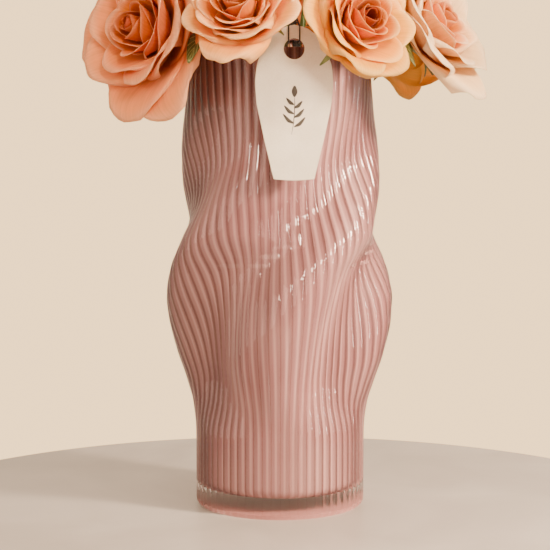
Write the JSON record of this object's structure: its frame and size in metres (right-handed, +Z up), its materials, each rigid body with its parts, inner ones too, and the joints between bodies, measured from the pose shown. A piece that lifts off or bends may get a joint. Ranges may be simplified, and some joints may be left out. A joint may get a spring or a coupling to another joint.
{
  "type": "roses in a vase",
  "caption": "Dome of garden roses standing in a ribbed glass vase with twisting lobes and a coloured lining, with a gift tag on a cord.",
  "frame": {"origin": "centre of the vase's foot, on the table", "axes": "+Z up, -Y towards the front, where the gift tag hangs"},
  "size_m": [0.2383, 0.2311, 0.4028],
  "materials": {
    "glass": "clear, ribbed and polished",
    "lining": "opaque dusty pink",
    "petals": "soft, slightly translucent petal",
    "heart": "soft petal",
    "stem": "green living stem",
    "leaf": "waxy leaf",
    "twine": "rough twisted fibre",
    "card": "matt uncoated card",
    "cord": "waxed black cord",
    "ribbon": "black grosgrain ribbon"
  },
  "bodies": {
    "root": {"vase_glass": "glass", "vase_lining": "lining", "rose_01_petals": "petals", "rose_01_heart": "heart", "rose_01_stem": "stem", "rose_02_petals": "petals", "rose_02_heart": "heart", "rose_02_stem": "stem", "rose_03_petals": "petals", "rose_03_heart": "heart", "rose_03_stem": "stem", "rose_04_petals": "petals", "rose_04_heart": "heart", "rose_04_stem": "stem", "rose_05_petals": "petals", "rose_05_heart": "heart", "rose_05_stem": "stem", "rose_06_petals": "petals", "rose_06_heart": "heart", "rose_06_stem": "stem", "rose_07_petals": "petals", "rose_07_heart": "heart", "rose_07_stem": "stem", "rose_08_petals": "petals", "rose_08_heart": "heart", "rose_08_stem": "stem", "rose_09_petals": "petals", "rose_09_heart": "heart", "rose_09_stem": "stem", "rose_10_petals": "petals", "rose_10_heart": "heart", "rose_10_stem": "stem", "rose_11_petals": "petals", "rose_11_heart": "heart", "rose_11_stem": "stem", "rose_12_petals": "petals", "rose_12_heart": "heart", "rose_12_stem": "stem", "rose_13_petals": "petals", "rose_13_heart": "heart", "rose_13_stem": "stem", "rose_14_petals": "petals", "rose_14_heart": "heart", "rose_14_stem": "stem", "leaf_01": "leaf", "leaf_02": "leaf", "leaf_03": "leaf", "leaf_04": "leaf", "leaf_05": "leaf", "leaf_06": "leaf", "leaf_07": "leaf", "stem_tie": "twine", "tag_card": "card", "tag_cord": "cord", "cord_bead": "cord", "tag_ribbon": "ribbon"}
  },
  "joints": []
}
